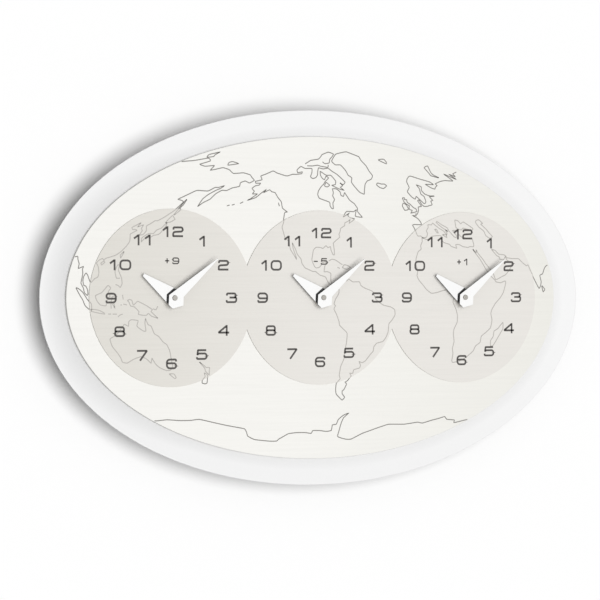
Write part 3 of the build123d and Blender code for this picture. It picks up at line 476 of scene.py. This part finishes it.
def flowing(points, closed):
    """Close-set points on a smooth curve through the given ones."""
    count = len(points)
    spans = count if closed else count - 1
    line = []
    for i in range(spans):
        near, far = points[i], points[(i + 1) % count]
        before = points[i - 1] if i or closed else near
        after = points[(i + 2) % count] if closed or i + 2 < count else far
        steps = max(1, round((far - near).length / map_step))
        leave = (far - before) * map_flow / 2
        arrive = (after - near) * map_flow / 2
        for step in range(steps):
            t = step / steps
            blend = t * t * (3 - 2 * t)
            bend = leave * t * (1 - t) ** 2 - arrive * t * t * (1 - t)
            line.append(near.lerp(far, blend) + bend)
    line.append(points[0] if closed else points[-1])
    return line


def on_film(spot):
    """Whether a face point lies on one of the three dials."""
    return any((spot - Vector((at.x, at.z))).length < dial_radius for at in dial_at.values())


def within_plate(spot):
    """Whether a face point lies on the oval plate, clear of its rounded edge."""
    x = spot.x / (plate_half_width - map_edge)
    z = spot.y / (plate_half_height - map_edge)
    return x * x + z * z < 1


def on_bare_plate(spot):
    """Whether a face point lies on the plate where no dial covers it."""
    return within_plate(spot) and not on_film(spot)


def runs_on(line, test):
    """Stretches of a line whose middles pass a test, as lists of points."""
    runs = []
    run = []
    for near, far in zip(line, line[1:]):
        if test((near + far) / 2):
            run = run or [near]
            run.append(far)
        elif run:
            runs.append(run)
            run = []
    if run:
        runs.append(run)
    return runs


def make_map(name, test, level, material):
    """Coast lines on one surface, at its own depth."""
    mesh = bmesh.new()
    open_coasts = [east_asia, europe_africa_india, americas, antarctica, *short_coasts.values()]
    coasts = [(coast, False) for coast in open_coasts] + [(coast, True) for coast in islands.values()]
    for coast, closed in coasts:
        line = flowing([on_plate(*place) for place in coast], closed)
        for run in runs_on(line, test):
            add_ribbon(mesh, run, map_line, level - map_ink, level + ink_sink)
    make_piece(name, mesh, material, "clock_body")


def make_hour_root(dial, material):
    """Painted shadow of the minute hand on the root of an hour hand, where it leaves the minute hand: a flat
    black sheet with a hole for the pipe.
    """
    hand_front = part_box(f"hour_hand_{dial}")[0].y
    front, back = hand_front - shadow_paint, hand_front + ink_sink
    middle = dial_at[dial]
    corners = [Vector(corner) * MM for corner in shadow_corners]
    edges = list(zip(corners, corners[1:] + corners[:1]))
    turns = {math.atan2(corner.y, corner.x) for corner in corners}
    turns |= {2 * math.pi * step / shadow_steps - math.pi for step in range(shadow_steps)}
    rings = []
    mesh = bmesh.new()
    for turn in sorted(turns):
        way = Vector((math.cos(turn), math.sin(turn)))
        reach = min(
            near.cross(far) / way.cross(far - near) for near, far in edges if way.cross(far - near) > 0
        )
        spots = ((shadow_hole, front), (reach, front), (reach, back), (shadow_hole, back))
        rings.append([
            mesh.verts.new((middle.x + way.x * out, depth, middle.z + way.y * out)) for out, depth in spots
        ])
    for one, two in zip(rings, rings[1:] + rings[:1]):
        join_rings(mesh, one, two)
    make_piece(f"hour_painted_shadow_{dial}", mesh, material, f"hour_{dial}")


# Node materials


def node(tree, kind, inputs=None, **settings):
    """Shader node with its settings, and with each input set to a value or linked to a socket."""
    made = tree.nodes.new(kind)
    for key, value in settings.items():
        setattr(made, key, value)
    for key, value in (inputs or {}).items():
        if isinstance(value, bpy.types.NodeSocket):
            tree.links.new(value, made.inputs[key])
        else:
            made.inputs[key].default_value = value
    return made


def maths(tree, operation, *values):
    """Result of a math node on values or sockets, as a socket."""
    return node(tree, "ShaderNodeMath", dict(enumerate(values)), operation=operation).outputs["Value"]


def own_place(tree):
    """Place in the object's own metres, as a socket."""
    return node(tree, "ShaderNodeTexCoord").outputs["Object"]


def across(tree):
    """How far to the right a place is, in metres, as a socket."""
    return node(tree, "ShaderNodeSeparateXYZ", {"Vector": own_place(tree)}).outputs["X"]


def surface(name, **sockets):
    """Material with a plain principled shader, its sockets set by name with underscores for spaces."""
    material = bpy.data.materials.new(name)
    material.use_nodes = True
    tree = material.node_tree
    shader = tree.nodes["Principled BSDF"]
    for key, value in sockets.items():
        shader.inputs[key.replace("_", " ")].default_value = value
    return material, tree, shader


def grain(tree, stretch, detail=3.0, roughness=0.55):
    """Noise in the object's own metres, stretched by cycles per metre along x, y and z."""
    scaled = node(tree, "ShaderNodeMapping", {"Vector": own_place(tree), "Scale": stretch}).outputs["Vector"]
    inputs = {"Vector": scaled, "Scale": 1.0, "Detail": detail, "Roughness": roughness}
    return node(tree, "ShaderNodeTexNoise", inputs).outputs["Fac"]


def shade(colour, amount=1.0):
    """Colour with alpha, made lighter or darker by a factor."""
    return (*[min(1.0, part * amount) for part in colour], 1.0)


def mix(tree, factor, first, second):
    """Colour between two, as a socket. A mix node keeps its colours at inputs 6 and 7 and at output 2."""
    return node(tree, "ShaderNodeMix", {0: factor, 6: first, 7: second}, data_type="RGBA").outputs[2]


def ranged(tree, value, low, high, start=0.0, stop=1.0):
    """Value moved from the range start to stop into the range low to high."""
    inputs = {"Value": value, "From Min": start, "From Max": stop, "To Min": low, "To Max": high}
    return node(tree, "ShaderNodeMapRange", inputs).outputs["Result"]


def uneven(tree, shader, colour, noise, spread, rough):
    """Give a shader a colour and a roughness that vary with a noise."""
    tone = ranged(tree, noise, 0.0, 1.0, *noise_range)
    varied = mix(tree, tone, shade(colour, 1 - spread), shade(colour, 1 + spread))
    tree.links.new(varied, shader.inputs["Base Color"])
    tree.links.new(ranged(tree, noise, *rough, *noise_range), shader.inputs["Roughness"])


def raise_bumps(tree, shader, height, distance, strength=1.0):
    """Bump a shader's surface by a height socket."""
    inputs = {"Height": height, "Distance": distance, "Strength": strength}
    tree.links.new(node(tree, "ShaderNodeBump", inputs).outputs["Normal"], shader.inputs["Normal"])


def facing(tree, way):
    """One on faces that look along +Y or -Y (way 1 or -1), zero elsewhere."""
    normal = node(tree, "ShaderNodeTexCoord").outputs["Normal"]
    along = node(tree, "ShaderNodeSeparateXYZ", {"Vector": normal}).outputs["Y"]
    return maths(tree, "GREATER_THAN", maths(tree, "MULTIPLY", along, way), facing_limit)


def even_finish(name, colour, scale, spread, rough, bump, metal):
    """Finish with the same grain all ways: paint, ink, plastic, rubber or turned metal."""
    material, tree, shader = surface(name, Metallic=metal)
    noise = grain(tree, (scale, scale, scale))
    uneven(tree, shader, colour, noise, spread, rough)
    if bump:
        raise_bumps(tree, shader, noise, bump)
    return material


def brushed_finish(name, left, right, span, edge, spread, rough):
    """Board or sheet brushed lengthwise, with a painted sheen from one colour to another over a span of x,
    and a darker edge.
    """
    material, tree, shader = surface(name, Specular_IOR_Level=0.35)
    fine = grain(tree, fine_brush, detail=2.0)
    broad = grain(tree, broad_brush, detail=2.0)
    streaks = maths(tree, "MULTIPLY", maths(tree, "ADD", fine, broad), 0.5)
    # Painted sheen: the colour runs from the left one to the right one across the span
    along = ranged(tree, across(tree), 0.0, 1.0, *span)
    painted_sheen = mix(tree, along, shade(left, 1 + spread), shade(right, 1 + spread))
    brushed = mix(tree, ranged(tree, streaks, 0.0, 2 * spread, *noise_range), painted_sheen, black)
    tree.links.new(mix(tree, facing(tree, -1), shade(edge), brushed), shader.inputs["Base Color"])
    tree.links.new(ranged(tree, streaks, *rough, *noise_range), shader.inputs["Roughness"])
    raise_bumps(tree, shader, streaks, distance=0.02 * MM, strength=0.6)
    return material


def beside_plate(tree):
    """Distance outside the oval plate, in metres, as a socket."""
    share = (1 / plate_half_width, 0, 1 / plate_half_height)
    inputs = {0: own_place(tree), 1: share}
    scaled = node(tree, "ShaderNodeVectorMath", inputs, operation="MULTIPLY").outputs["Vector"]
    reach = node(tree, "ShaderNodeVectorMath", {0: scaled}, operation="LENGTH").outputs["Value"]
    steep = node(tree, "ShaderNodeVectorMath", {0: scaled, 1: share}, operation="MULTIPLY").outputs["Vector"]
    slope = node(tree, "ShaderNodeVectorMath", {0: steep}, operation="LENGTH").outputs["Value"]
    past = maths(tree, "MULTIPLY", maths(tree, "SUBTRACT", reach, 1.0), reach)
    return maths(tree, "DIVIDE", past, slope)


def lacquered_board(name, paint, fibre):
    """Satin lacquer with a faint orange peel and painted shade beside the plate, deepest on the left; the
    back is bare dark fibre.
    """
    material, tree, shader = surface(name, Specular_IOR_Level=0.4)
    peel = grain(tree, lacquer_peel, detail=1.0)
    fibres = grain(tree, bare_fibres, detail=6.0, roughness=0.7)
    clouds = grain(tree, fibre_clouds, detail=2.0)
    lacquer = mix(tree, peel, shade(paint, 0.99), shade(paint, 1.01))
    x = across(tree)
    # Painted shade: the lacquer darkens towards black near the plate's edge, deeper and wider on the left
    depth = ranged(tree, x, *painted_rim_shade, -plate_half_width, 0.0)
    reach = ranged(tree, x, *rim_shade_reach, -plate_half_width, -plate_half_width / 2)
    front = mix(tree, ranged(tree, beside_plate(tree), depth, 0.0, 0.0, reach), lacquer, black)
    speckles = ranged(tree, fibres, 0.0, 1.0, *fibre_range)
    speckled = mix(tree, speckles, shade(fibre, 0.78), shade(fibre, 1.18))
    back = mix(tree, ranged(tree, clouds, 0.0, 0.25, *fibre_range), speckled, shade(fibre, 0.85))
    behind = facing(tree, 1)
    tree.links.new(mix(tree, behind, front, back), shader.inputs["Base Color"])
    tree.links.new(ranged(tree, behind, 0.42, 0.85), shader.inputs["Roughness"])
    raise_bumps(tree, shader, peel, distance=0.01 * MM)
    return material


def painted_hand(name, paint, bare):
    """White paint on the front of a hand; its edges and back are dark."""
    material, tree, shader = surface(name, Specular_IOR_Level=0.35)
    peel = grain(tree, hand_peel, detail=1.0)
    painted = mix(tree, peel, shade(paint, 0.985), shade(paint))
    tree.links.new(mix(tree, facing(tree, -1), shade(bare), painted), shader.inputs["Base Color"])
    tree.links.new(ranged(tree, peel, 0.4, 0.5), shader.inputs["Roughness"])
    return material


def wound_wire(name, colour):
    """Fine enamelled wire, wound in turns up the coil."""
    material, tree, shader = surface(name, Metallic=0.8)
    inputs = {"Vector": own_place(tree), "Scale": wire_turns, "Distortion": 0.3}
    turns = node(tree, "ShaderNodeTexWave", inputs, bands_direction="Z").outputs["Fac"]
    uneven(tree, shader, colour, turns, spread=0.25, rough=(0.3, 0.45))
    raise_bumps(tree, shader, turns, distance=0.1 * MM)
    return material


def cell_wrap(name):
    """Printed sleeve of a cell: dark body, copper shoulder and bare metal ends, along each cell."""
    material, tree, shader = surface(name)
    half = dial_spacing / 2
    along = maths(tree, "WRAP", across(tree), half, -half)
    low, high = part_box("battery_cells")
    share = ranged(tree, along, 0.0, 1.0, low.x + dial_spacing, high.x - dial_spacing)
    ramp = node(tree, "ShaderNodeValToRGB", {"Fac": share})
    ramp.color_ramp.interpolation = "CONSTANT"
    shoulder = 0.72
    bands = (
        (0.0, (0.72, 0.72, 0.72)), (0.03, (0.035, 0.036, 0.04)),
        (shoulder, (0.62, 0.3, 0.13)), (0.96, (0.74, 0.74, 0.74)),
    )
    for band in bands[2:]:
        ramp.color_ramp.elements.new(band[0])
    for element, (start, colour) in zip(ramp.color_ramp.elements, bands):
        element.position = start
        element.color = shade(colour)
    tree.links.new(ramp.outputs["Color"], shader.inputs["Base Color"])
    scuffs = grain(tree, sleeve_scuffs, detail=4.0)
    tree.links.new(ranged(tree, scuffs, 0.2, 0.4, *noise_range), shader.inputs["Roughness"])
    metal = maths(tree, "GREATER_THAN", share, shoulder)
    tree.links.new(ranged(tree, metal, 0.1, 0.9), shader.inputs["Metallic"])
    return material


# Name: colour, grain in cycles per metre, spread of the tone, roughness from and to, height of bumps, metal
even_finishes = {
    "nut_grey": ((0.26, 0.25, 0.23), 1500.0, 0.12, (0.35, 0.5), 0.0, 0.5),
    "black_plastic": ((0.022, 0.022, 0.024), 1800.0, 0.2, (0.45, 0.62), 0.03 * MM, 0.0),
    "gear_plastic": ((0.78, 0.75, 0.68), 600.0, 0.04, (0.35, 0.5), 0.01 * MM, 0.0),
    "brass": ((0.72, 0.52, 0.22), 900.0, 0.1, (0.22, 0.4), 0.0, 1.0),
    "steel": ((0.62, 0.62, 0.63), 260.0, 0.12, (0.25, 0.45), 0.01 * MM, 1.0),
    "iron": ((0.26, 0.25, 0.25), 700.0, 0.15, (0.4, 0.6), 0.0, 1.0),
    "circuit_board": ((0.035, 0.2, 0.09), 500.0, 0.2, (0.3, 0.45), 0.01 * MM, 0.0),
    "rubber": ((0.035, 0.034, 0.033), 1200.0, 0.25, (0.7, 0.85), 0.05 * MM, 0.0),
    "dark_ink": ((0.045, 0.040, 0.036), 2500.0, 0.12, (0.5, 0.65), 0.0, 0.0),
    "plate_ink": ((0.22, 0.21, 0.195), 900.0, 0.12, (0.5, 0.65), 0.0, 0.0),
    "film_ink": ((0.47, 0.45, 0.42), 900.0, 0.08, (0.5, 0.65), 0.0, 0.0),
    # The last finish is the black of the painted shadow that the minute hand throws on each hour hand
    "painted_shadow_black": ((0.012, 0.012, 0.012), 1500.0, 0.15, (0.6, 0.75), 0.0, 0.0),
}
finishes = {name: even_finish(name, *values) for name, values in even_finishes.items()}
finishes["white_lacquer"] = lacquered_board(
    "white_lacquer", paint=(0.868, 0.868, 0.868), fibre=(0.095, 0.093, 0.089)
)
# Painted sheen: the plate goes darker towards the right, the film lighter towards the right
finishes["ivory_plate"] = brushed_finish(
    "ivory_plate", left=(0.885, 0.876, 0.842), right=(0.821, 0.812, 0.764), span=(-30 * MM, 270 * MM),
    edge=(0.58, 0.57, 0.545), spread=0.018, rough=(0.45, 0.55),
)
finishes["grey_film"] = brushed_finish(
    "grey_film", left=(0.709, 0.688, 0.638), right=(0.779, 0.757, 0.718), span=(-230 * MM, 0.0),
    edge=(0.42, 0.405, 0.38), spread=0.022, rough=(0.42, 0.52),
)
finishes["hand_white"] = painted_hand("hand_white", paint=(0.94, 0.94, 0.935), bare=(0.02, 0.02, 0.02))
finishes["copper"] = wound_wire("copper", (0.70, 0.33, 0.15))
finishes["cell_sleeve"] = cell_wrap("cell_sleeve")

slot_of = {part["node"]: part["material_slot"] for part in frame["record"]["subparts"]}
for name, solid in frame["nodes"].items():
    solid.data.materials.clear()
    solid.data.materials.append(finishes[slot_of[name]])

for dial in dials:
    make_numerals(dial, finishes["dark_ink"])
    # Each hour hand carries a black sheet of painted shadow from its minute hand
    make_hour_root(dial, finishes["painted_shadow_black"])
make_map("map_on_plate", on_bare_plate, plate_front, finishes["plate_ink"])
make_map("map_on_film", on_film, film_front, finishes["film_ink"])

# Studio: a pale wall behind the clock, and even soft light, of which a share comes from all round
wall_at = 0.5 * MM
wall_reach = 4.0
ambient = 0.225


def pale_wall(name):
    """White wall that is clear from behind, so that the back of the clock can be looked at."""
    material = bpy.data.materials.new(name)
    material.use_nodes = True
    tree = material.node_tree
    tree.nodes.clear()
    painted = node(tree, "ShaderNodeBsdfDiffuse", {"Color": white}).outputs["BSDF"]
    clear = node(tree, "ShaderNodeBsdfTransparent").outputs["BSDF"]
    behind = node(tree, "ShaderNodeNewGeometry").outputs["Backfacing"]
    both = node(tree, "ShaderNodeMixShader", {0: behind, 1: painted, 2: clear}).outputs["Shader"]
    node(tree, "ShaderNodeOutputMaterial", {"Surface": both})
    return material


def make_sun(name, right, up, spread, share):
    """Even soft light from far off, at degrees to the right of and above the clock's front."""
    light = bpy.data.lights.new(name, "SUN")
    light.angle = math.radians(spread)
    light.energy = math.pi * share
    lamp = bpy.data.objects.new(name, light)
    bpy.context.scene.collection.objects.link(lamp)
    lamp.rotation_euler = (math.radians(90 - up), 0, math.radians(right))


wall_corners = [(x * wall_reach, wall_at, z * wall_reach) for x, z in ((-1, -1), (1, -1), (1, 1), (-1, 1))]
wall_mesh = bpy.data.meshes.new("wall")
wall_mesh.from_pydata(wall_corners, [], [(0, 1, 2, 3)])
wall_mesh.materials.append(pale_wall("pale_wall"))
wall = bpy.data.objects.new("wall", wall_mesh)
bpy.context.scene.collection.objects.link(wall)

# The wall throws no shadow, so that light reaches the back of the clock
wall.visible_shadow = False
make_sun("key", right=0, up=-3, spread=56, share=1 - ambient)
make_sun("back_fill", right=180, up=10, spread=60, share=0.6)

world = bpy.data.worlds.new("studio")
bpy.context.scene.world = world
world.use_nodes = True
sky = world.node_tree
sky.nodes.clear()
path = node(sky, "ShaderNodeLightPath").outputs
seen = path["Is Camera Ray"]
for kind in ("Is Glossy Ray", "Is Transmission Ray"):
    seen = maths(sky, "MAXIMUM", seen, path[kind])
strength = ranged(sky, seen, ambient, 1.0)
background = node(sky, "ShaderNodeBackground", {"Color": white, "Strength": strength}).outputs["Background"]
node(sky, "ShaderNodeOutputWorld", {"Surface": background})

# Camera at the photograph's view: to the left of the clock and level with it
view_turn = math.radians(26.85)
view_rise = math.radians(0.242)
view_distance = 3.0232
aim_depth = 4.7 * MM
photo_size = 600
focal_pixels = 2980.3
centre_pixel = (318.4, 297.6)
sensor = 36.0

aim = Vector((0, film_front + aim_depth, 0))
towards = Vector((
    -math.sin(view_turn) * math.cos(view_rise),
    -math.cos(view_turn) * math.cos(view_rise),
    math.sin(view_rise),
))
lens = bpy.data.cameras.new("camera")
lens.sensor_width = sensor
lens.lens = focal_pixels * sensor / photo_size
lens.shift_x = (photo_size / 2 - centre_pixel[0]) / photo_size
lens.shift_y = (centre_pixel[1] - photo_size / 2) / photo_size
camera = bpy.data.objects.new("camera", lens)
bpy.context.scene.collection.objects.link(camera)
camera.location = aim + towards * view_distance
camera.rotation_euler = (-towards).to_track_quat("-Z", "Y").to_euler()
bpy.context.scene.camera = camera
bpy.context.scene.view_settings.view_transform = "Standard"
